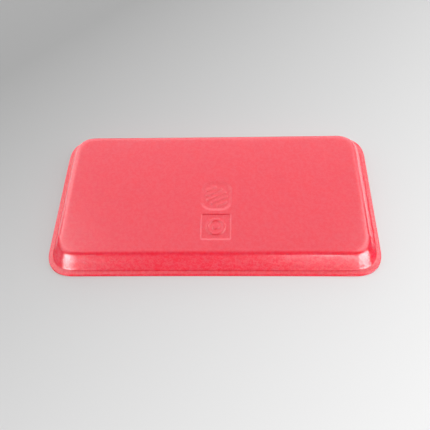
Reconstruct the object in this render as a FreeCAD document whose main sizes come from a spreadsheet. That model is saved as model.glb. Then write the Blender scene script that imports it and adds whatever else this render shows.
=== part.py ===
import FreeCAD, Part
import math
import os

import Sketcher

# A shallow foam tray lying upside down on its rim: base up, open side down.
# One sheet of closed-cell foam, pressed hot into its shape, so the whole tray is one solid.
# Millimetres. The origin is the middle of the rectangle that the rim stands on; +X runs along
# the long sides and +Z points up out of the base.

DIMENSIONS = {
    # the sheet and the outline of its rim
    "tray_length": 273.0,
    "tray_width": 146.0,
    "tray_height": 19.0,
    "foam_thickness": 3.0,
    "rim_corner_radius": 20.5,
    # the flat lip outside the walls
    "lip_width": 3.8,
    "lip_edge_radius": 1.0,
    "lip_root_radius": 1.6,
    # the base, stepped in from the rim by the slope of the walls
    "base_inset": 11.7,
    "base_corner_radius": 14.0,
    "base_edge_radius": 5.0,
    # two marks pressed into the base, one in front of the other
    "mark_depth": 0.8,
    "mark_centre_x": 2.6,
    "square_mark_side": 24.0,
    "square_mark_centre_y": -37.0,
    "square_mark_corner_radius": 1.5,
    "ring_outer_radius": 8.0,
    "ring_inner_radius": 5.6,
    "dot_radius": 2.6,
    "tall_mark_across": 23.5,
    "tall_mark_along": 28.0,
    "tall_mark_corner_radius": 8.0,
    "tall_mark_centre_y": -6.0,
    "bar_width": 2.2,
    "bar_spacing": 4.6,
    "bar_angle": 30.0,
    "middle_bar_length": 18.0,
    "next_bar_length": 16.0,
    "outer_bar_length": 9.0,
}
# the bars of the tall mark, counted from the middle one
BARS = {-2: "outer_bar", -1: "next_bar", 0: "middle_bar", 1: "next_bar", 2: "outer_bar"}
UP = FreeCAD.Vector(0, 0, 1)
NO_LENGTH = 1e-3
# rough numbers that a sketch starts from, before its dimensions pull it into shape
ROUGH_OUTLINE = (250.0, 130.0, 16.0)
ROUGH_SQUARE = (20.0, 20.0, 2.0)
ROUGH_RADIUS = 5.0

# Sizes that follow from the sheet, written as expressions
SHEET = "dimensions"
LENGTH = f"{SHEET}.tray_length"
WIDTH = f"{SHEET}.tray_width"
HEIGHT = f"{SHEET}.tray_height"
THICKNESS = f"{SHEET}.foam_thickness"
# how far a wall leans in for each millimetre it climbs, and how thick it is, measured level
LEAN = f"({SHEET}.base_inset - {SHEET}.lip_width) / ({HEIGHT} - {THICKNESS})"
WALL = f"{THICKNESS} * sqrt(1 + ({LEAN}) ^ 2)"


def add_sheet(doc):
    sheet = doc.addObject("Spreadsheet::Sheet", SHEET)
    for row, (alias, value) in enumerate(DIMENSIONS.items(), start=1):
        sheet.set(f"A{row}", alias)
        sheet.set(f"B{row}", str(value))
        sheet.setAlias(f"B{row}", alias)
    doc.recompute()
    return sheet


# ---- sketches ----


def add_sketch(body, name, level):
    """An empty sketch parallel to the body's XY plane, raised to a level."""
    sketch = body.newObject("Sketcher::SketchObject", name)
    plane = [f for f in body.Origin.OriginFeatures if f.Role == "XY_Plane"][0]
    sketch.AttachmentSupport = (plane, [""])
    sketch.MapMode = "FlatFace"
    sketch.setExpression("AttachmentOffset.Base.z", level)
    return sketch


def bind(sketch, name, constraint, expression):
    """Adds a named dimension and ties it to the sheet."""
    number = sketch.addConstraint(constraint)
    sketch.renameConstraint(number, name)
    sketch.setExpression(f"Constraints.{name}", expression)


def place_point(sketch, name, element, point, centre):
    across = Sketcher.Constraint("DistanceX", -1, 1, element, point, 1.0)
    along = Sketcher.Constraint("DistanceY", -1, 1, element, point, 1.0)
    bind(sketch, f"{name}_x", across, centre[0])
    bind(sketch, f"{name}_y", along, centre[1])


def draw_rounded_rectangle(sketch, length, width, radius, rough, centre=None):
    """Four sides and four corner arcs, about the origin or about a centre given as two expressions."""
    rough_length, rough_width, rough_radius = rough
    sides = []
    corners = []
    for quarter in range(4):
        # the side that leads up to the corner, then the corner, in the frame of this quarter turn
        turn = FreeCAD.Rotation(UP, 90 * quarter)
        across, along = rough_length / 2, rough_width / 2
        if quarter % 2:
            across, along = along, across
        low = turn.multVec(FreeCAD.Vector(across, rough_radius - along, 0))
        high = turn.multVec(FreeCAD.Vector(across, along - rough_radius, 0))
        hub = turn.multVec(FreeCAD.Vector(across - rough_radius, along - rough_radius, 0))
        sides.append(sketch.addGeometry(Part.LineSegment(low, high)))
        begin = math.radians(90 * quarter)
        arc = Part.ArcOfCircle(Part.Circle(hub, UP, rough_radius), begin, begin + math.pi / 2)
        corners.append(sketch.addGeometry(arc))
    for quarter in range(4):
        side, corner, next_side = sides[quarter], corners[quarter], sides[(quarter + 1) % 4]
        sketch.addConstraint(Sketcher.Constraint("Tangent", side, 2, corner, 1))
        sketch.addConstraint(Sketcher.Constraint("Tangent", corner, 2, next_side, 1))
        sketch.addConstraint(Sketcher.Constraint("Horizontal" if quarter % 2 else "Vertical", side))
    for corner in corners[1:]:
        sketch.addConstraint(Sketcher.Constraint("Equal", corners[0], corner))
    right, back, left, front = sides
    span_x = Sketcher.Constraint("DistanceX", left, 1, right, 1, rough_length)
    span_y = Sketcher.Constraint("DistanceY", front, 1, back, 1, rough_width)
    bind(sketch, "length", span_x, length)
    bind(sketch, "width", span_y, width)
    bind(sketch, "radius", Sketcher.Constraint("Radius", corners[0], rough_radius), radius)
    if centre is None:
        middle = (-1, 1)
    else:
        point = sketch.addGeometry(Part.Point(FreeCAD.Vector(0, 0, 0)), True)
        place_point(sketch, "middle", point, 1, centre)
        middle = (point, 1)
    sketch.addConstraint(Sketcher.Constraint("Symmetric", corners[0], 3, corners[2], 3, *middle))


def draw_circle(sketch, name, radius, centre):
    circle = sketch.addGeometry(Part.Circle(FreeCAD.Vector(1, 1, 0), UP, ROUGH_RADIUS))
    bind(sketch, f"{name}_radius", Sketcher.Constraint("Radius", circle, ROUGH_RADIUS), radius)
    place_point(sketch, name, circle, 3, centre)


def draw_bar(sketch, name, length, width, angle, centre):
    """A rectangle turned by an angle from X, given by its centre, length and width."""
    corners = [FreeCAD.Vector(x, y, 0) for x, y in ((-4, -1), (4, -1), (4, 1), (-4, 1))]
    turn = FreeCAD.Rotation(UP, DIMENSIONS["bar_angle"])
    corners = [turn.multVec(c) for c in corners]
    sides = []
    for here, there in zip(corners, corners[1:] + corners[:1]):
        sides.append(sketch.addGeometry(Part.LineSegment(here, there)))
    for side, following in zip(sides, sides[1:] + sides[:1]):
        sketch.addConstraint(Sketcher.Constraint("Coincident", side, 2, following, 1))
    for side, following in zip(sides[:3], sides[1:]):
        sketch.addConstraint(Sketcher.Constraint("Perpendicular", side, following))
    bind(sketch, f"{name}_length", Sketcher.Constraint("Distance", sides[0], 8.0), length)
    bind(sketch, f"{name}_width", Sketcher.Constraint("Distance", sides[1], 2.0), width)
    bind(sketch, f"{name}_angle", Sketcher.Constraint("Angle", sides[0], 0.5), angle)
    point = sketch.addGeometry(Part.Point(FreeCAD.Vector(0, 0, 0)), True)
    sketch.addConstraint(Sketcher.Constraint("Symmetric", sides[0], 1, sides[1], 2, point, 1))
    place_point(sketch, name, point, 1, centre)


# ---- features ----


def outer_inset(level):
    """How far the outside of a wall stands in from the rim's edge, at a level."""
    return f"({SHEET}.lip_width + ({level} - {THICKNESS}) * {LEAN})"


def outer_corner_radius(level):
    """The radius of the outside of a corner, which changes evenly from the rim to the base."""
    rate = f"({SHEET}.base_corner_radius - {SHEET}.rim_corner_radius) / {SHEET}.base_inset"
    return f"({SHEET}.rim_corner_radius + {outer_inset(level)} * {rate})"


def tray_outline(body, name, level, inset, corner_radius):
    """The tray's own rounded rectangle at a level, drawn in from the rim's edge by an inset."""
    sketch = add_sketch(body, name, level)
    length = f"{LENGTH} - 2 * {inset}"
    width = f"{WIDTH} - 2 * {inset}"
    draw_rounded_rectangle(sketch, length, width, corner_radius, ROUGH_OUTLINE)
    return sketch


def add_loft(body, kind, name, profile, section):
    loft = body.newObject(kind, name)
    loft.Profile = profile
    loft.Sections = [section]
    loft.Ruled = True
    body.Document.recompute()
    return loft


def distance_in(point, sheet):
    """How far a point lies inside the rim's rounded rectangle."""
    radius = sheet.rim_corner_radius
    past_x = abs(point.x) - (sheet.tray_length / 2 - radius)
    past_y = abs(point.y) - (sheet.tray_width / 2 - radius)
    if past_x > 0 and past_y > 0:
        return radius - math.hypot(past_x, past_y)
    return radius - max(past_x, past_y)


def round_level_edges(body, name, level, radius, in_from, in_to):
    """A fillet on the edges at one level that lie between two distances in from the rim's edge."""
    sheet = body.Document.getObject(SHEET)
    base = body.Tip
    chosen = []
    for number, edge in enumerate(base.Shape.Edges, start=1):
        box = edge.BoundBox
        level_edge = abs(box.ZMin - level) < NO_LENGTH and abs(box.ZMax - level) < NO_LENGTH
        middle = edge.valueAt((edge.FirstParameter + edge.LastParameter) / 2)
        if level_edge and in_from <= distance_in(middle, sheet) <= in_to:
            chosen.append(f"Edge{number}")
    fillet = body.newObject("PartDesign::Fillet", name)
    fillet.Base = (base, chosen)
    fillet.setExpression("Radius", radius)
    body.Document.recompute()
    return fillet


def press_mark(body, name, sketch):
    """Sinks a sketch's closed loops into the base; a loop inside a loop stays standing."""
    before = body.Shape.Volume
    pocket = body.newObject("PartDesign::Pocket", name)
    pocket.Profile = sketch
    pocket.setExpression("Length", f"{SHEET}.mark_depth")
    body.Document.recompute()
    if body.Shape.Volume > before - 1:
        raise RuntimeError(f"{name} cut nothing")


# ---- the tray ----


def build_outside(body, sheet):
    """The lip and the block that the walls and base are the outside of."""
    rim_radius = f"{SHEET}.rim_corner_radius"
    lip = body.newObject("PartDesign::Pad", "lip")
    lip.Profile = tray_outline(body, "lip_outline", "0", "0", rim_radius)
    lip.setExpression("Length", THICKNESS)
    body.Document.recompute()

    outlines = []
    for name, level in (("wall_foot", THICKNESS), ("base_outline", HEIGHT)):
        radius = outer_corner_radius(level)
        outlines.append(tray_outline(body, name, level, outer_inset(level), radius))
    add_loft(body, "PartDesign::AdditiveLoft", "walls_and_base", *outlines)

    everywhere = (0, sheet.tray_width)
    foot = (sheet.lip_width / 2, sheet.tray_width)
    lip_rim = (0, sheet.lip_width / 2)
    lip_top = sheet.foam_thickness
    edge = f"{SHEET}.base_edge_radius"
    round_level_edges(body, "base_edge", sheet.tray_height, edge, *everywhere)
    round_level_edges(body, "lip_root", lip_top, f"{SHEET}.lip_root_radius", *foot)
    round_level_edges(body, "lip_top_edge", lip_top, f"{SHEET}.lip_edge_radius", *lip_rim)
    round_level_edges(body, "lip_bottom_edge", 0, f"{SHEET}.lip_edge_radius", *everywhere)


def hollow_out(body, sheet):
    """The inside of the tray, one foam thickness in from the outside all over."""
    before = body.Shape.Volume
    outlines = []
    for name, level in (("mouth_outline", "0"), ("ceiling_outline", f"({HEIGHT} - {THICKNESS})")):
        inset = f"({outer_inset(level)} + {WALL})"
        radius = f"{outer_corner_radius(level)} - {WALL}"
        outlines.append(tray_outline(body, name, level, inset, radius))
    add_loft(body, "PartDesign::SubtractiveLoft", "inside", *outlines)
    if body.Shape.Volume > before / 2:
        raise RuntimeError("the inside cut too little")

    ceiling = sheet.tray_height - sheet.foam_thickness
    inner = (sheet.lip_width, sheet.tray_width)
    ceiling_radius = f"{SHEET}.base_edge_radius - {THICKNESS}"
    mouth_radius = f"{SHEET}.lip_root_radius + {THICKNESS}"
    round_level_edges(body, "ceiling_edge", ceiling, ceiling_radius, *inner)
    round_level_edges(body, "mouth_edge", 0, mouth_radius, *inner)


def add_square_mark(body):
    """A sunk square with a ring and a dot left standing in it."""
    centre = (f"{SHEET}.mark_centre_x", f"{SHEET}.square_mark_centre_y")
    sketch = add_sketch(body, "square_mark_outline", HEIGHT)
    side = f"{SHEET}.square_mark_side"
    corner = f"{SHEET}.square_mark_corner_radius"
    draw_rounded_rectangle(sketch, side, side, corner, ROUGH_SQUARE, centre)
    for name in ("ring_outer", "ring_inner", "dot"):
        draw_circle(sketch, name, f"{SHEET}.{name}_radius", centre)
    press_mark(body, "square_mark", sketch)


def add_tall_mark(body):
    """A sunk panel with round corners and a stack of slanted bars left standing in it."""
    centre = (f"{SHEET}.mark_centre_x", f"{SHEET}.tall_mark_centre_y")
    sketch = add_sketch(body, "tall_mark_outline", HEIGHT)
    across, along = f"{SHEET}.tall_mark_across", f"{SHEET}.tall_mark_along"
    corner = f"{SHEET}.tall_mark_corner_radius"
    draw_rounded_rectangle(sketch, across, along, corner, ROUGH_SQUARE, centre)
    angle = f"{SHEET}.bar_angle * 1 deg"
    for number, (step, bar) in enumerate(BARS.items(), start=1):
        offset = f"{step} * {SHEET}.bar_spacing"
        x = f"{centre[0]} - {offset} * sin({angle})"
        y = f"{centre[1]} + {offset} * cos({angle})"
        draw_bar(sketch, f"bar{number}", f"{SHEET}.{bar}_length", f"{SHEET}.bar_width", angle, (x, y))
    press_mark(body, "tall_mark", sketch)


def build_tray(doc, sheet):
    body = doc.addObject("PartDesign::Body", "foam_tray")
    body.Label = "foam_tray"
    build_outside(body, sheet)
    hollow_out(body, sheet)
    add_square_mark(body)
    add_tall_mark(body)
    body.Placement = FreeCAD.Placement()
    return body


def check_and_write(doc, bodies):
    for item in doc.Objects:
        if "Invalid" in item.State or "Error" in item.State:
            raise RuntimeError(f"{item.Name} did not build: {item.State}")
    os.makedirs("parts", exist_ok=True)
    for body in bodies:
        shape = body.Shape
        if shape.isNull() or not shape.isValid() or len(shape.Solids) != 1:
            raise RuntimeError(f"{body.Label} is not one valid solid")
        shape.exportStep(os.path.join("parts", f"{body.Label}.step"))
        box = shape.optimalBoundingBox(False)
        print(f"{body.Label}: {box.XLength:.2f} x {box.YLength:.2f} x {box.ZLength:.2f} mm,"
              f" {shape.Volume / 1000:.1f} cm3, {len(shape.Faces)} faces")


def main():
    doc = FreeCAD.newDocument("foam_tray_model")
    sheet = add_sheet(doc)
    tray = build_tray(doc, sheet)
    doc.recompute()
    check_and_write(doc, [tray])


main()
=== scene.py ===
import math

import bpy
import numpy as np
from mathutils import Matrix, Vector


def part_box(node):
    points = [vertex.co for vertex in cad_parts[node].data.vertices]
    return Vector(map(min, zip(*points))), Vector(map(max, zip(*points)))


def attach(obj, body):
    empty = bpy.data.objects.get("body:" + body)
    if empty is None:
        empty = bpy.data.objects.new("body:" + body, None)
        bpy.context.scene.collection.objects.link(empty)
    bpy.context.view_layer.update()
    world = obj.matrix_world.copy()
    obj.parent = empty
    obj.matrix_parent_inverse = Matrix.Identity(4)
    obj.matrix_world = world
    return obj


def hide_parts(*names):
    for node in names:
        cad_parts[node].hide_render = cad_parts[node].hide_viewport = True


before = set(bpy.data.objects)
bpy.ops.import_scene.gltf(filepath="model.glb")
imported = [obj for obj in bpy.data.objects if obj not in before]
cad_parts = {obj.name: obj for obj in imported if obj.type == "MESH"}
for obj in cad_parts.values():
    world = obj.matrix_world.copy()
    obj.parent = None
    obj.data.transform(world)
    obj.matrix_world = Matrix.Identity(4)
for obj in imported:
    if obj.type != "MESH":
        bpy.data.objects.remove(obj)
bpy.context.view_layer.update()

MM = 0.001

# ---- sizes: the outline comes from the frame, the section from how the sheet is pressed ----

HALF_LENGTH, HALF_WIDTH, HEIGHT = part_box("foam_tray")[1]
FOAM = 3.0 * MM
RIM_CORNER_RADIUS = 20.5 * MM
BASE_CORNER_RADIUS = 14.0 * MM
LIP_WIDTH = 3.8 * MM
LIP_EDGE_RADIUS = 1.0 * MM
LIP_ROOT_RADIUS = 1.6 * MM
BASE_INSET = 11.7 * MM
BASE_EDGE_RADIUS = 5.0 * MM
CROWN_RADIUS = 50 * MM          # the base starts to round over before its edge
CROWN_TURN = math.radians(4)
WALL_SWELL = 0.22 * MM          # how far the walls stand out between the lip and the base
LIP_DROOP = 0.55 * MM           # how far the lip's edge hangs below its root, in the middle of a side

CORNER_EASE = 1.25              # how far a corner's curve reaches along its sides, over its radius
CORNER_SQUARENESS = 2.6         # the power of its curve, where 2 is a circle

# what cooling does to the sheet: always drawn in or down, so that it stays inside the CAD box
SIDE_BOW = 0.5 * MM
BASE_WAVE = 0.12 * MM
WAVE_LENGTH = 55 * MM
# how fast each wave runs along X and along Y, its phase and its share
WAVES = ((1, 0.3, 0.7, 1), (-0.595, 0.935, 2.1, 1), (0.48, -0.6, 4.0, 0.6))

# how the walls draw the foam out: the share of the height it takes, and how much of it the lip keeps
STRETCH_RUN = 1 / 3
LIP_STRETCH = 0.4

MARK_DEPTH = 0.8 * MM
MARK_EDGE = 0.9 * MM            # the width of the soft shoulder round a pressed mark
MARK_X = 2.6 * MM
SQUARE_MARK_Y = -37.0 * MM
SQUARE_MARK_HALF = 12.0 * MM
SQUARE_MARK_CORNER = 1.5 * MM
RING_OUTER = 8.0 * MM
RING_INNER = 5.6 * MM
DOT_RADIUS = 2.6 * MM
TALL_MARK_Y = -6.0 * MM
TALL_MARK_HALF = (11.75 * MM, 14.0 * MM)
TALL_MARK_CORNER = 8.0 * MM
TALL_MARK_EDGE = 4.0 * MM       # its outline fades out more softly
BAR_WIDTH = 2.2 * MM
BAR_SPACING = 4.6 * MM
BAR_ANGLE = math.radians(30)
BAR_LENGTHS = {-2: 9.0 * MM, -1: 16.0 * MM, 0: 18.0 * MM, 1: 16.0 * MM, 2: 9.0 * MM}

# grid spacing across the marks, on the plain base, and down the walls
FINE_STEP = 0.4 * MM
COARSE_STEP = 3.0 * MM
WALL_STEP = 1.5 * MM
MARK_ROOM = 2.0 * MM            # fine grid kept round the marks
CORNER_CELLS = 9                # grid cells across one corner, each way
ARC_STEP = math.radians(9)      # the turn between two rings on a fillet
CROWN_STEPS = 4


# ---- the section of the sheet ----

LEAN = (BASE_INSET - LIP_WIDTH) / (HEIGHT - FOAM)
WALL_ANGLE = math.atan2(1, LEAN)                # from level
WALL_THICKNESS = FOAM * math.hypot(1, LEAN)     # measured level


def outer_inset(level):
    """How far in from the rim's edge the outside of a wall stands at a level."""
    return LIP_WIDTH + (level - FOAM) * LEAN


def corner_radius(inset, level):
    """A corner's radius changes evenly up the outside, and every other line runs parallel to that."""
    guide = min(inset, outer_inset(level))
    rate = (BASE_CORNER_RADIUS - RIM_CORNER_RADIUS) / BASE_INSET
    return RIM_CORNER_RADIUS + rate * guide - (inset - guide)


def swell(level):
    """How far the walls stand out at a level: nothing at the foot and the head, most halfway up."""
    wall_foot = FOAM + LIP_ROOT_RADIUS
    wall_head = HEIGHT - BASE_EDGE_RADIUS / 2
    rise = np.clip((level - wall_foot) / (wall_head - wall_foot), 0, 1)
    return WALL_SWELL * 4 * rise * (1 - rise)


def corner_curve(turns):
    """Points of a corner's curve, as parts of its radius, with 0 along +X and 1 along +Y. It eases into
    the sides rather than starting at once, but crosses the diagonal where a round corner would."""
    turns = np.asarray(turns) * math.pi / 2
    power = 2 / CORNER_SQUARENESS
    return CORNER_EASE * np.stack([np.cos(turns) ** power, np.sin(turns) ** power], -1)


def arc_points(hub, radius, begin, end):
    """Points of an arc, both ends included; angles are from the inset axis towards +Z."""
    count = max(2, round(abs(end - begin) / ARC_STEP))
    angles = np.linspace(begin, end, count + 1)
    return [(hub[0] + radius * math.cos(a), hub[1] + radius * math.sin(a)) for a in angles]


def line_points(start, stop, step):
    """Points between two others, neither included."""
    start, stop = np.array(start), np.array(stop)
    count = max(1, round(math.dist(start, stop) / step))
    return [tuple(start + (stop - start) * i / count) for i in range(1, count)]


def section():
    """(inset, level) round the sheet's section: from the flat of the base, down the outside,
    round the lip, up the inside and to the flat of the ceiling."""
    half_turn = math.tan(WALL_ANGLE / 2)
    quarter = math.pi / 2
    inside_radius = BASE_EDGE_RADIUS - FOAM
    mouth_radius = LIP_ROOT_RADIUS + FOAM
    ceiling = HEIGHT - FOAM
    inside_foot = outer_inset(0) + WALL_THICKNESS
    inside_head = outer_inset(ceiling) + WALL_THICKNESS

    crown_reach = CROWN_RADIUS * math.sin(CROWN_TURN)
    crown_fall = CROWN_RADIUS * (1 - math.cos(CROWN_TURN))
    edge_hub_level = HEIGHT - crown_fall - BASE_EDGE_RADIUS * math.cos(CROWN_TURN)
    wall_top = edge_hub_level + BASE_EDGE_RADIUS * math.cos(WALL_ANGLE)
    edge_hub_inset = outer_inset(wall_top) + BASE_EDGE_RADIUS * math.sin(WALL_ANGLE)
    crown_hub_inset = edge_hub_inset + crown_reach - BASE_EDGE_RADIUS * math.sin(CROWN_TURN)
    crown = [(crown_hub_inset - CROWN_RADIUS * math.sin(turn), HEIGHT - CROWN_RADIUS * (1 - math.cos(turn)))
             for turn in np.linspace(0, CROWN_TURN, CROWN_STEPS, endpoint=False)]
    base_edge = crown + arc_points(
        (edge_hub_inset, edge_hub_level), BASE_EDGE_RADIUS, quarter + CROWN_TURN, quarter + WALL_ANGLE)
    root_hub = (LIP_WIDTH - LIP_ROOT_RADIUS * half_turn, FOAM + LIP_ROOT_RADIUS)
    root = arc_points(root_hub, LIP_ROOT_RADIUS, WALL_ANGLE - quarter, -quarter)
    lip_top = arc_points(
        (LIP_EDGE_RADIUS, FOAM - LIP_EDGE_RADIUS), LIP_EDGE_RADIUS, quarter, 2 * quarter)
    lip_bottom = arc_points((LIP_EDGE_RADIUS, LIP_EDGE_RADIUS), LIP_EDGE_RADIUS, 2 * quarter, 3 * quarter)
    mouth_hub = (inside_foot - mouth_radius * half_turn, mouth_radius)
    mouth = arc_points(mouth_hub, mouth_radius, -quarter, WALL_ANGLE - quarter)
    ceiling_hub = (inside_head + inside_radius * half_turn, ceiling - inside_radius)
    ceiling_edge = arc_points(ceiling_hub, inside_radius, quarter + WALL_ANGLE, quarter)

    points = []
    for arc in (base_edge, root, lip_top, lip_bottom, mouth, ceiling_edge):
        if points:
            points += line_points(points[-1], arc[0], WALL_STEP)
        points += arc
    return [(inset - swell(level), level) for inset, level in points]


# ---- the outline ----


def spaced(start, stop, step):
    """Even steps of about this size from start to stop, without the last point."""
    count = max(1, round(abs(stop - start) / step))
    return list(np.linspace(start, stop, count, endpoint=False))


def grid_lines(half, fine_low, fine_high):
    """Grid positions along a straight side, fine where the marks are and coarse elsewhere."""
    lines = spaced(-half, fine_low, COARSE_STEP)
    lines += spaced(fine_low, fine_high, FINE_STEP)
    lines += spaced(fine_high, half, COARSE_STEP)
    return np.array(lines + [half])


def rounded_outline(inset, level, x_lines, y_lines):
    """One ring of points, anticlockwise from the middle of the corner at -X -Y. x_lines and
    y_lines are where the base's grid meets its straight sides; other rings stretch them."""
    radius = corner_radius(inset, level)
    reach_x = HALF_LENGTH - inset - radius * CORNER_EASE
    reach_y = HALF_WIDTH - inset - radius * CORNER_EASE
    xs = x_lines * reach_x / x_lines[-1]
    ys = y_lines * reach_y / y_lines[-1]
    rise = corner_curve(np.linspace(0, 0.5, CORNER_CELLS, endpoint=False)) * radius
    fall = corner_curve(np.linspace(0.5, 0, CORNER_CELLS, endpoint=False)) * radius
    edge = CORNER_EASE * radius
    points = []
    for quarter in range(4):
        # one side with the halves of its two corners, drawn as the -Y side and then turned
        along, reach, out = (xs, reach_x, reach_y) if quarter % 2 == 0 else (ys, reach_y, reach_x)
        if quarter >= 2:
            along = -along[::-1]
        first = [(-reach - side, -out - down) for down, side in fall]
        middle = [(s, -out - edge) for s in along]
        last = [(reach + side, -out - down) for down, side in rise[1:]]
        cos, sin = ((1, 0), (0, 1), (-1, 0), (0, -1))[quarter]
        points += [(x * cos - y * sin, x * sin + y * cos) for x, y in first + middle + last]
    return np.array(points)


def corner_patch(radius, cells):
    """Points that carry a square grid over the area inside a corner's curve, in +X +Y:
    [i, j] runs along X and Y, with the curve along the two outer sides."""
    edge = CORNER_EASE * radius
    steps = np.linspace(0, 1, cells + 1)
    rise = corner_curve(steps / 2) * radius             # outer side in X
    run = rise[:, ::-1]                                 # outer side in Y
    tip = rise[-1]
    patch = np.zeros((cells + 1, cells + 1, 2))
    for i, u in enumerate(steps):
        for j, v in enumerate(steps):
            low, high = np.array([u * edge, 0]), run[i]
            left, right = np.array([0, v * edge]), rise[j]
            corners = u * (1 - v) * np.array([edge, 0]) + (1 - u) * v * np.array([0, edge]) + u * v * tip
            patch[i, j] = (1 - v) * low + v * high + (1 - u) * left + u * right - corners
    return patch


def flat_grid(inset, level, x_lines, y_lines):
    """The grid over one flat face, whose edge is the ring at that inset and level."""
    radius = corner_radius(inset, level)
    reach_x = HALF_LENGTH - inset - radius * CORNER_EASE
    reach_y = HALF_WIDTH - inset - radius * CORNER_EASE
    n = CORNER_CELLS
    edge = np.linspace(0, radius * CORNER_EASE, n + 1)
    xs = np.concatenate([-reach_x - edge[:0:-1], x_lines * reach_x / x_lines[-1], reach_x + edge[1:]])
    ys = np.concatenate([-reach_y - edge[:0:-1], y_lines * reach_y / y_lines[-1], reach_y + edge[1:]])
    grid = np.stack(np.meshgrid(xs, ys, indexing="ij"), 2)
    patch = corner_patch(radius, n)
    mirrored = patch[::-1]
    grid[-n - 1:, -n - 1:] = patch + (reach_x, reach_y)
    grid[:n + 1, -n - 1:] = mirrored * (-1, 1) + (-reach_x, reach_y)
    grid[-n - 1:, :n + 1] = patch[:, ::-1] * (1, -1) + (reach_x, -reach_y)
    grid[:n + 1, :n + 1] = mirrored[:, ::-1] * (-1, -1) + (-reach_x, -reach_y)
    return grid


def edge_numbers(columns, rows):
    """The numbers of a grid's edge points, anticlockwise from the corner at -X -Y."""
    number = np.arange(columns * rows).reshape(columns, rows)
    return np.concatenate([number[:-1, 0], number[-1, :-1], number[:0:-1, -1], number[0, :0:-1]])


# ---- the pressed marks ----


def shoulder(distance, width=MARK_EDGE):
    """1 inside a shape and 0 outside it, with a soft shoulder across its edge."""
    t = np.clip(0.5 - distance / width, 0, 1)
    return t * t * (3 - 2 * t)


def box_distance(x, y, half_x, half_y, radius):
    """How far outside a box with round corners a point is: below 0 is inside."""
    past_x = np.abs(x) - half_x + radius
    past_y = np.abs(y) - half_y + radius
    outside = np.hypot(np.maximum(past_x, 0), np.maximum(past_y, 0))
    return outside + np.minimum(np.maximum(past_x, past_y), 0) - radius


def square_mark(x, y):
    """A sunk square with a ring and a dot left standing."""
    x = x - MARK_X
    y = y - SQUARE_MARK_Y
    reach = np.hypot(x, y)
    sunk = shoulder(box_distance(x, y, SQUARE_MARK_HALF, SQUARE_MARK_HALF, SQUARE_MARK_CORNER))
    ring = shoulder(reach - RING_OUTER) - shoulder(reach - RING_INNER)
    return sunk - ring - shoulder(reach - DOT_RADIUS)


def tall_mark(x, y):
    """A sunk panel with round corners, and slanted bars left standing no higher than the base."""
    x = x - MARK_X
    y = y - TALL_MARK_Y
    sunk = shoulder(box_distance(x, y, *TALL_MARK_HALF, TALL_MARK_CORNER), TALL_MARK_EDGE)
    along = x * math.cos(BAR_ANGLE) + y * math.sin(BAR_ANGLE)
    across = y * math.cos(BAR_ANGLE) - x * math.sin(BAR_ANGLE)
    for step, length in BAR_LENGTHS.items():
        beside = across - step * BAR_SPACING
        sunk = sunk - shoulder(box_distance(along, beside, length / 2, BAR_WIDTH / 2, BAR_WIDTH / 4))
    return np.maximum(sunk, 0)


def wave(x, y):
    """A slow unevenness from 0 to 1, as a pressed sheet keeps once it has cooled."""
    turn = 2 * math.pi / WAVE_LENGTH
    total = sum(share * np.sin(turn * (along_x * x + along_y * y) + phase)
                for along_x, along_y, phase, share in WAVES)
    most = sum(share for *_, share in WAVES)
    return 0.5 + total / (2 * most)


# ---- the tray ----


def build_tray():
    """One closed mesh: a grid over the base, rings down the outside, round the lip and up the inside,
    and a grid over the ceiling."""
    fine_x = (MARK_X - SQUARE_MARK_HALF - MARK_ROOM, MARK_X + SQUARE_MARK_HALF + MARK_ROOM)
    fine_y = (SQUARE_MARK_Y - SQUARE_MARK_HALF - MARK_ROOM, TALL_MARK_Y + TALL_MARK_HALF[1] + MARK_ROOM)
    points = section()
    base, ceiling = points[0], points[-1]
    corner_reach = corner_radius(*base) * CORNER_EASE
    reach_x = HALF_LENGTH - base[0] - corner_reach
    reach_y = HALF_WIDTH - base[0] - corner_reach
    x_lines = grid_lines(reach_x, *fine_x)
    y_lines = grid_lines(reach_y, max(fine_y[0], -reach_y), fine_y[1])

    top = flat_grid(*base, x_lines, y_lines)
    under = flat_grid(*ceiling, x_lines, y_lines)
    columns, rows = top.shape[:2]
    flat = columns * rows
    edge = edge_numbers(columns, rows)

    # positions: the base's grid, the rings between, then the ceiling's grid
    places = [np.column_stack([top.reshape(-1, 2), np.full(flat, base[1])])]
    for inset, level in points[1:-1]:
        ring = rounded_outline(inset, level, x_lines, y_lines)
        places.append(np.column_stack([ring, np.full(len(ring), level)]))
    places.append(np.column_stack([under.reshape(-1, 2), np.full(flat, ceiling[1])]))
    vertices = np.concatenate(places)

    # numbers of the points of each ring, from the base's edge to the ceiling's
    around = len(edge)
    rings = [edge]
    rings += [flat + around * i + np.arange(around) for i in range(len(points) - 2)]
    rings.append(flat + around * (len(points) - 2) + edge)

    number = np.arange(flat).reshape(columns, rows)
    quads = np.stack([number[:-1, :-1], number[1:, :-1], number[1:, 1:], number[:-1, 1:]], 2).reshape(-1, 4)
    faces = [quads, quads[:, ::-1] + flat + around * (len(points) - 2)]
    for inner, outer in zip(rings[:-1], rings[1:]):
        faces.append(np.stack([inner, outer, np.roll(outer, -1), np.roll(inner, -1)], 1))
    faces = np.concatenate(faces)

    shape_by_hand(vertices, flat)
    mesh = bpy.data.meshes.new("foam_tray_shell")
    mesh.from_pydata(vertices.tolist(), [], faces.tolist())
    mesh.validate()
    mesh.shade_smooth()
    add_stretch(mesh, vertices)
    tray = bpy.data.objects.new("foam_tray_shell", mesh)
    bpy.context.scene.collection.objects.link(tray)
    return tray


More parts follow.
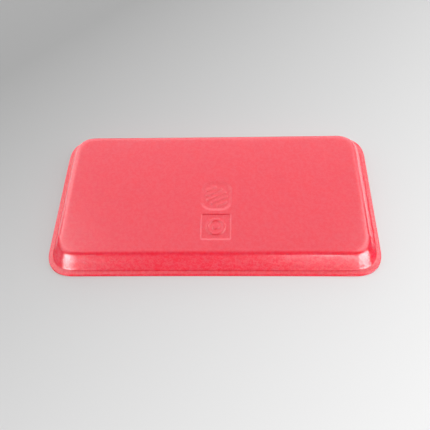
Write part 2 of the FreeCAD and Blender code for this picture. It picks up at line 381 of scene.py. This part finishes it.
def shape_by_hand(vertices, flat):
    """Bows the long sides, lets three of the four lips droop, waves the base and presses the marks,
    in place. The lip at -X stays flat."""
    x, y, z = vertices.T.copy()
    middle = 1 - (x / HALF_LENGTH) ** 2
    overhang = np.clip(1 - (HALF_WIDTH - np.abs(y)) / LIP_WIDTH, 0, 1)
    end_middle = 1 - (y / HALF_WIDTH) ** 2
    end_overhang = np.clip(1 - (HALF_LENGTH - x) / LIP_WIDTH, 0, 1)
    droop = np.maximum(middle * overhang, end_middle * end_overhang)
    vertices[:, 2] -= LIP_DROOP * droop * np.clip(z / FOAM, 0, 1)
    vertices[:, 1] -= SIDE_BOW * middle * y / HALF_WIDTH
    vertices[:, 2] -= BASE_WAVE * wave(x, y) * np.clip(z / HEIGHT, 0, 1) ** 2
    sunk = square_mark(x[:flat], y[:flat]) + tall_mark(x[:flat], y[:flat])
    vertices[:flat, 2] -= MARK_DEPTH * sunk


def add_stretch(mesh, vertices):
    """How far the foam is drawn out as it is pressed: 0 on the base, 1 low on the walls and less on
    the lip."""
    level = vertices[:, 2]
    on_walls = np.clip((1 - level / HEIGHT) / STRETCH_RUN, 0, 1)
    off_lip = np.clip(level / FOAM - 1, 0, 1)
    amount = on_walls * (LIP_STRETCH + (1 - LIP_STRETCH) * off_lip)
    stretch = mesh.attributes.new("stretch", "FLOAT", "POINT")
    stretch.data.foreach_set("value", amount.astype(np.float32))


# ---- the foam ----


class Nodes:
    """A short way to write a node tree: each call adds a node and gives back one of its outputs."""

    def __init__(self, tree):
        self.tree = tree

    def add(self, kind, output=0, inputs=None, **settings):
        node = self.tree.nodes.new(kind)
        for name, value in settings.items():
            setattr(node, name, value)
        for name, value in (inputs or {}).items():
            if isinstance(value, bpy.types.NodeSocket):
                self.tree.links.new(value, node.inputs[name])
            else:
                node.inputs[name].default_value = value
        return None if output is None else node.outputs[output]

    def multiply_add(self, value, factor, offset):
        inputs = {0: value, 1: factor, 2: offset}
        return self.add("ShaderNodeMath", operation="MULTIPLY_ADD", inputs=inputs)


FOAM_DEEP = (0.94, 0.005, 0.045)
FOAM_PALE = (0.96, 0.084, 0.127)
POLYSTYRENE_IOR = 1.59
SKIN_GLOSS = 1.0                # above 0.5, since the first cell walls mirror light as well as the skin
SKIN_ROUGHNESS = 0.19
CELL_SIZE = 1.0 * MM
CELL_SOFTNESS = 0.6
GRAIN_SIZE = 2.6 * MM
GRAIN_LAYERS = 3.0
GRAIN_SHARPNESS = 0.9           # how strong each finer layer is, over the one before
GRAIN_RANGE = (0.41, 0.59)      # the noise values that turn into the deepest and the palest foam
CELL_RELIEF = 0.07 * MM
GRAIN_RELIEF = 0.25 * MM
BASE_CONTRAST = 0.30            # how much of the grain and cells shows on the base
STRETCH_CONTRAST = 0.64         # how much more shows where the foam is drawn out
GLOW_DEPTH = 3 * MM             # how far red light wanders under the skin
GLOW_COLOURS = (1.0, 0.3, 0.25)


def foam_material():
    """Closed-cell foam with a thin glossy skin: its cells and grain show most where it is drawn out."""
    material = bpy.data.materials.new("pressed_foam")
    material.use_nodes = True
    material.node_tree.nodes.clear()
    n = Nodes(material.node_tree)
    place = n.add("ShaderNodeTexCoord", "Object")
    stretch = n.add("ShaderNodeAttribute", "Fac", attribute_name="stretch")

    cells = n.add("ShaderNodeTexVoronoi", "Distance", feature="SMOOTH_F1", inputs={
        "Vector": place, "Scale": 1 / CELL_SIZE, "Smoothness": CELL_SOFTNESS})
    grain = n.add("ShaderNodeTexNoise", inputs={
        "Vector": place, "Scale": 1 / GRAIN_SIZE, "Detail": GRAIN_LAYERS, "Roughness": GRAIN_SHARPNESS})

    # the same grain, spread out and then drawn towards the middle on the flat base
    centred = n.add("ShaderNodeMapRange", inputs={
        "Value": grain, "From Min": GRAIN_RANGE[0], "From Max": GRAIN_RANGE[1],
        "To Min": -0.5, "To Max": 0.5})
    contrast = n.multiply_add(stretch, STRETCH_CONTRAST, BASE_CONTRAST)
    speckle = n.multiply_add(centred, contrast, 0.5)
    colour = n.add("ShaderNodeMix", "Result", data_type="RGBA",
                   inputs={"Factor": speckle, "A": (*FOAM_DEEP, 1), "B": (*FOAM_PALE, 1)})

    pitted = n.add("ShaderNodeBump", "Normal", inputs={
        "Height": cells, "Strength": contrast, "Distance": CELL_RELIEF})
    grainy = n.add("ShaderNodeBump", "Normal", inputs={
        "Height": grain, "Strength": contrast, "Distance": GRAIN_RELIEF, "Normal": pitted})

    shader = n.add("ShaderNodeBsdfPrincipled", "BSDF", inputs={
        "Base Color": colour, "Roughness": SKIN_ROUGHNESS, "Normal": grainy, "IOR": POLYSTYRENE_IOR,
        "Specular IOR Level": SKIN_GLOSS,
        "Subsurface Weight": 1.0, "Subsurface Scale": GLOW_DEPTH, "Subsurface Radius": GLOW_COLOURS})
    n.add("ShaderNodeOutputMaterial", output=None, inputs={"Surface": shader})
    return material


# ---- the studio ----

CAMERA_AZIMUTH = math.radians(4.33)
CAMERA_ELEVATION = math.radians(55.66)
CAMERA_ROLL = math.radians(-3.84)
CAMERA_DISTANCE = 0.4711
CAMERA_TARGET = Vector((0.0008, -0.0128, 0.0))
CAMERA_LENS = 45.63             # in millimetres, as Blender counts it, like the sensor's width
SENSOR = 36.0
NEAREST_SEEN = 0.01

CORNER_REACH = 0.88             # how far out the highlights on the front corners are
MIDDLE = Vector((0, 0, 0))
FRONT_LEFT = Vector((-CORNER_REACH * HALF_LENGTH, -CORNER_REACH * HALF_WIDTH, HEIGHT / 2))
FRONT_RIGHT = Vector((CORNER_REACH * HALF_LENGTH, -CORNER_REACH * HALF_WIDTH, HEIGHT / 2))
# name, the point it faces, azimuth and elevation in degrees, width and height in metres, brightness
SOFTBOXES = (
    # two low ones that the front corners mirror, and dimmer ones between and beside them
    ("front_left", FRONT_LEFT, -36.5, -4.5, 0.53, 0.30, 8.2),
    ("front_right", FRONT_RIGHT, 50, -4.5, 0.90, 0.30, 8.4),
    ("front_right_strip", FRONT_RIGHT, 10, 0, 0.18, 0.18, 6.8),
    ("front_low", MIDDLE, -4, -5, 0.60, 0.09, 0.8),
    ("left_corner", MIDDLE, -85, -14, 0.60, 0.30, 0.5),
    # the tent behind, beside and above the tray
    ("left_strip", MIDDLE, -131, 21, 0.50, 0.64, 1.5),
    ("left_low", MIDDLE, -135, -26, 0.60, 1.10, 1.0),
    ("right_strip", MIDDLE, 133, 22, 0.50, 0.70, 0.8),
    ("right_low", MIDDLE, 139, -27, 0.70, 1.10, 1.15),
    ("left_side", MIDDLE, -90, 42, 1.20, 0.90, 1.0),
    ("right_side", MIDDLE, 90, 42, 1.20, 0.90, 1.4),
    ("back_card", MIDDLE, 180, 19, 1.20, 0.93, 1.3),
    ("roof", MIDDLE, 180, 79, 2.00, 1.40, 0.70),
)
WORLD_BRIGHTNESS = 0.05

BACKDROP_RADIUS = 8.0
BACKDROP_SEGMENTS = 48
BACKDROP_SHADE = 0.62
FLOOR_REACH = 0.8 * BACKDROP_RADIUS
FLOOR_GAP = 0.05 * MM           # how far the floor lies below the rim
PAPER_ALBEDO = 0.3
PAPER_ROUGHNESS = 0.9
BRIGHT_WAY = (0.7, -0.7, 0)     # the floor's painted glow is brighter towards the front right
GLOW_START = (-0.28, 0.09)      # how far along that way, and how brightly it glows there
GLOW_STOP = (0.26, 0.68)
FADE_MIDDLE = (-0.12, 0.12, 0)
FADE_START = 0.38
FADE_STOP = 0.78


def direction(azimuth, elevation):
    """From the tray towards a place round it: azimuth 0 is in front of it, at -Y, and 90 is at +X."""
    level = math.cos(elevation)
    return Vector((math.sin(azimuth) * level, -math.cos(azimuth) * level, math.sin(elevation)))


def add_camera():
    back = direction(CAMERA_AZIMUTH, CAMERA_ELEVATION)
    right = (-back).cross(Vector((0, 0, 1))).normalized()
    up = right.cross(-back)
    rolled_right = right * math.cos(CAMERA_ROLL) + up * math.sin(CAMERA_ROLL)
    rolled_up = up * math.cos(CAMERA_ROLL) - right * math.sin(CAMERA_ROLL)
    data = bpy.data.cameras.new("camera")
    data.sensor_width = SENSOR
    data.lens = CAMERA_LENS
    data.clip_start = NEAREST_SEEN
    camera = bpy.data.objects.new("camera", data)
    turn = Matrix((rolled_right, rolled_up, back)).transposed().to_4x4()
    camera.matrix_world = Matrix.Translation(CAMERA_TARGET + back * CAMERA_DISTANCE) @ turn
    bpy.context.scene.collection.objects.link(camera)
    bpy.context.scene.camera = camera


def add_softbox(name, aim, azimuth, elevation, width, height, brightness):
    """A flat light one metre from the point that it faces, which the camera doesn't see. Its
    brightness is how bright its face looks, where 1 is white."""
    data = bpy.data.lights.new(name, "AREA")
    data.shape = "RECTANGLE"
    data.size = width
    data.size_y = height
    data.energy = math.pi * width * height * brightness
    light = bpy.data.objects.new(name, data)
    away = direction(math.radians(azimuth), math.radians(elevation))
    light.location = aim + away
    light.rotation_euler = away.to_track_quat("Z", "Y").to_euler()
    light.visible_camera = False
    bpy.context.scene.collection.objects.link(light)


def add_floor():
    """Pale paper with a painted glow, dimmer towards the back left, that fades into the backdrop further
    out.
    Nothing mirrors it and it blocks no light, so the tray mirrors the softboxes as it would on a
    raised stand."""
    mesh = bpy.data.meshes.new("floor")
    corners = [(x * FLOOR_REACH, y * FLOOR_REACH, 0) for x, y in ((-1, -1), (1, -1), (1, 1), (-1, 1))]
    mesh.from_pydata(corners, [], [(0, 1, 2, 3)])
    floor = bpy.data.objects.new("floor", mesh)
    floor.location.z = -FLOOR_GAP
    floor.visible_glossy = False
    floor.visible_shadow = False
    bpy.context.scene.collection.objects.link(floor)

    material = bpy.data.materials.new("floor_paper_painted_glow")
    material.use_nodes = True
    n = Nodes(material.node_tree)
    place = n.add("ShaderNodeTexCoord", "Object")
    across = n.add("ShaderNodeVectorMath", "Value", operation="DOT_PRODUCT", inputs={
        0: place, 1: BRIGHT_WAY})
    away = n.add("ShaderNodeVectorMath", "Value", operation="DISTANCE", inputs={
        0: place, 1: FADE_MIDDLE})
    glow = n.add("ShaderNodeMapRange", inputs={
        "Value": across, "From Min": GLOW_START[0], "From Max": GLOW_STOP[0],
        "To Min": GLOW_START[1], "To Max": GLOW_STOP[1]})
    nearby = n.add("ShaderNodeMapRange", interpolation_type="SMOOTHSTEP", inputs={
        "Value": away, "From Min": FADE_START, "From Max": FADE_STOP, "To Min": 1.0, "To Max": 0.0})
    paper = n.add("ShaderNodeMath", operation="MULTIPLY", inputs={0: nearby, 1: PAPER_ALBEDO})
    # painted glow: the floor's own emission, brighter towards the front right, stands in for light falling
    # on the paper and softens the tray's shadow on it
    painted_glow = n.add("ShaderNodeMix", "Result", data_type="FLOAT",
                  inputs={"Factor": nearby, "A": BACKDROP_SHADE, "B": glow})
    shader = material.node_tree.nodes["Principled BSDF"]
    material.node_tree.links.new(paper, shader.inputs["Base Color"])
    material.node_tree.links.new(painted_glow, shader.inputs["Emission Strength"])
    shader.inputs["Emission Color"].default_value = (1, 1, 1, 1)
    shader.inputs["Roughness"].default_value = PAPER_ROUGHNESS
    shader.inputs["Specular IOR Level"].default_value = 0.0
    mesh.materials.append(material)


def add_backdrop():
    """A pale ball round the studio, which only the camera sees."""
    bpy.ops.mesh.primitive_uv_sphere_add(
        segments=BACKDROP_SEGMENTS, ring_count=BACKDROP_SEGMENTS // 2, radius=BACKDROP_RADIUS)
    backdrop = bpy.context.object
    backdrop.name = "backdrop"
    backdrop.visible_diffuse = False
    backdrop.visible_glossy = False
    backdrop.visible_transmission = False
    backdrop.visible_shadow = False
    material = bpy.data.materials.new("backdrop_paper")
    material.use_nodes = True
    material.node_tree.nodes.clear()
    n = Nodes(material.node_tree)
    glow = n.add("ShaderNodeEmission", inputs={"Color": (1, 1, 1, 1), "Strength": BACKDROP_SHADE})
    n.add("ShaderNodeOutputMaterial", output=None, inputs={"Surface": glow})
    backdrop.data.materials.append(material)


def add_world():
    world = bpy.data.worlds.new("studio")
    world.use_nodes = True
    background = world.node_tree.nodes["Background"]
    background.inputs["Color"].default_value = (1, 1, 1, 1)
    background.inputs["Strength"].default_value = WORLD_BRIGHTNESS
    bpy.context.scene.world = world


tray = build_tray()
tray.data.materials.append(foam_material())
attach(tray, "root")
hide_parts("foam_tray")

add_camera()
add_floor()
add_backdrop()
add_world()
for softbox in SOFTBOXES:
    add_softbox(*softbox)
bpy.context.scene.view_settings.view_transform = "Standard"
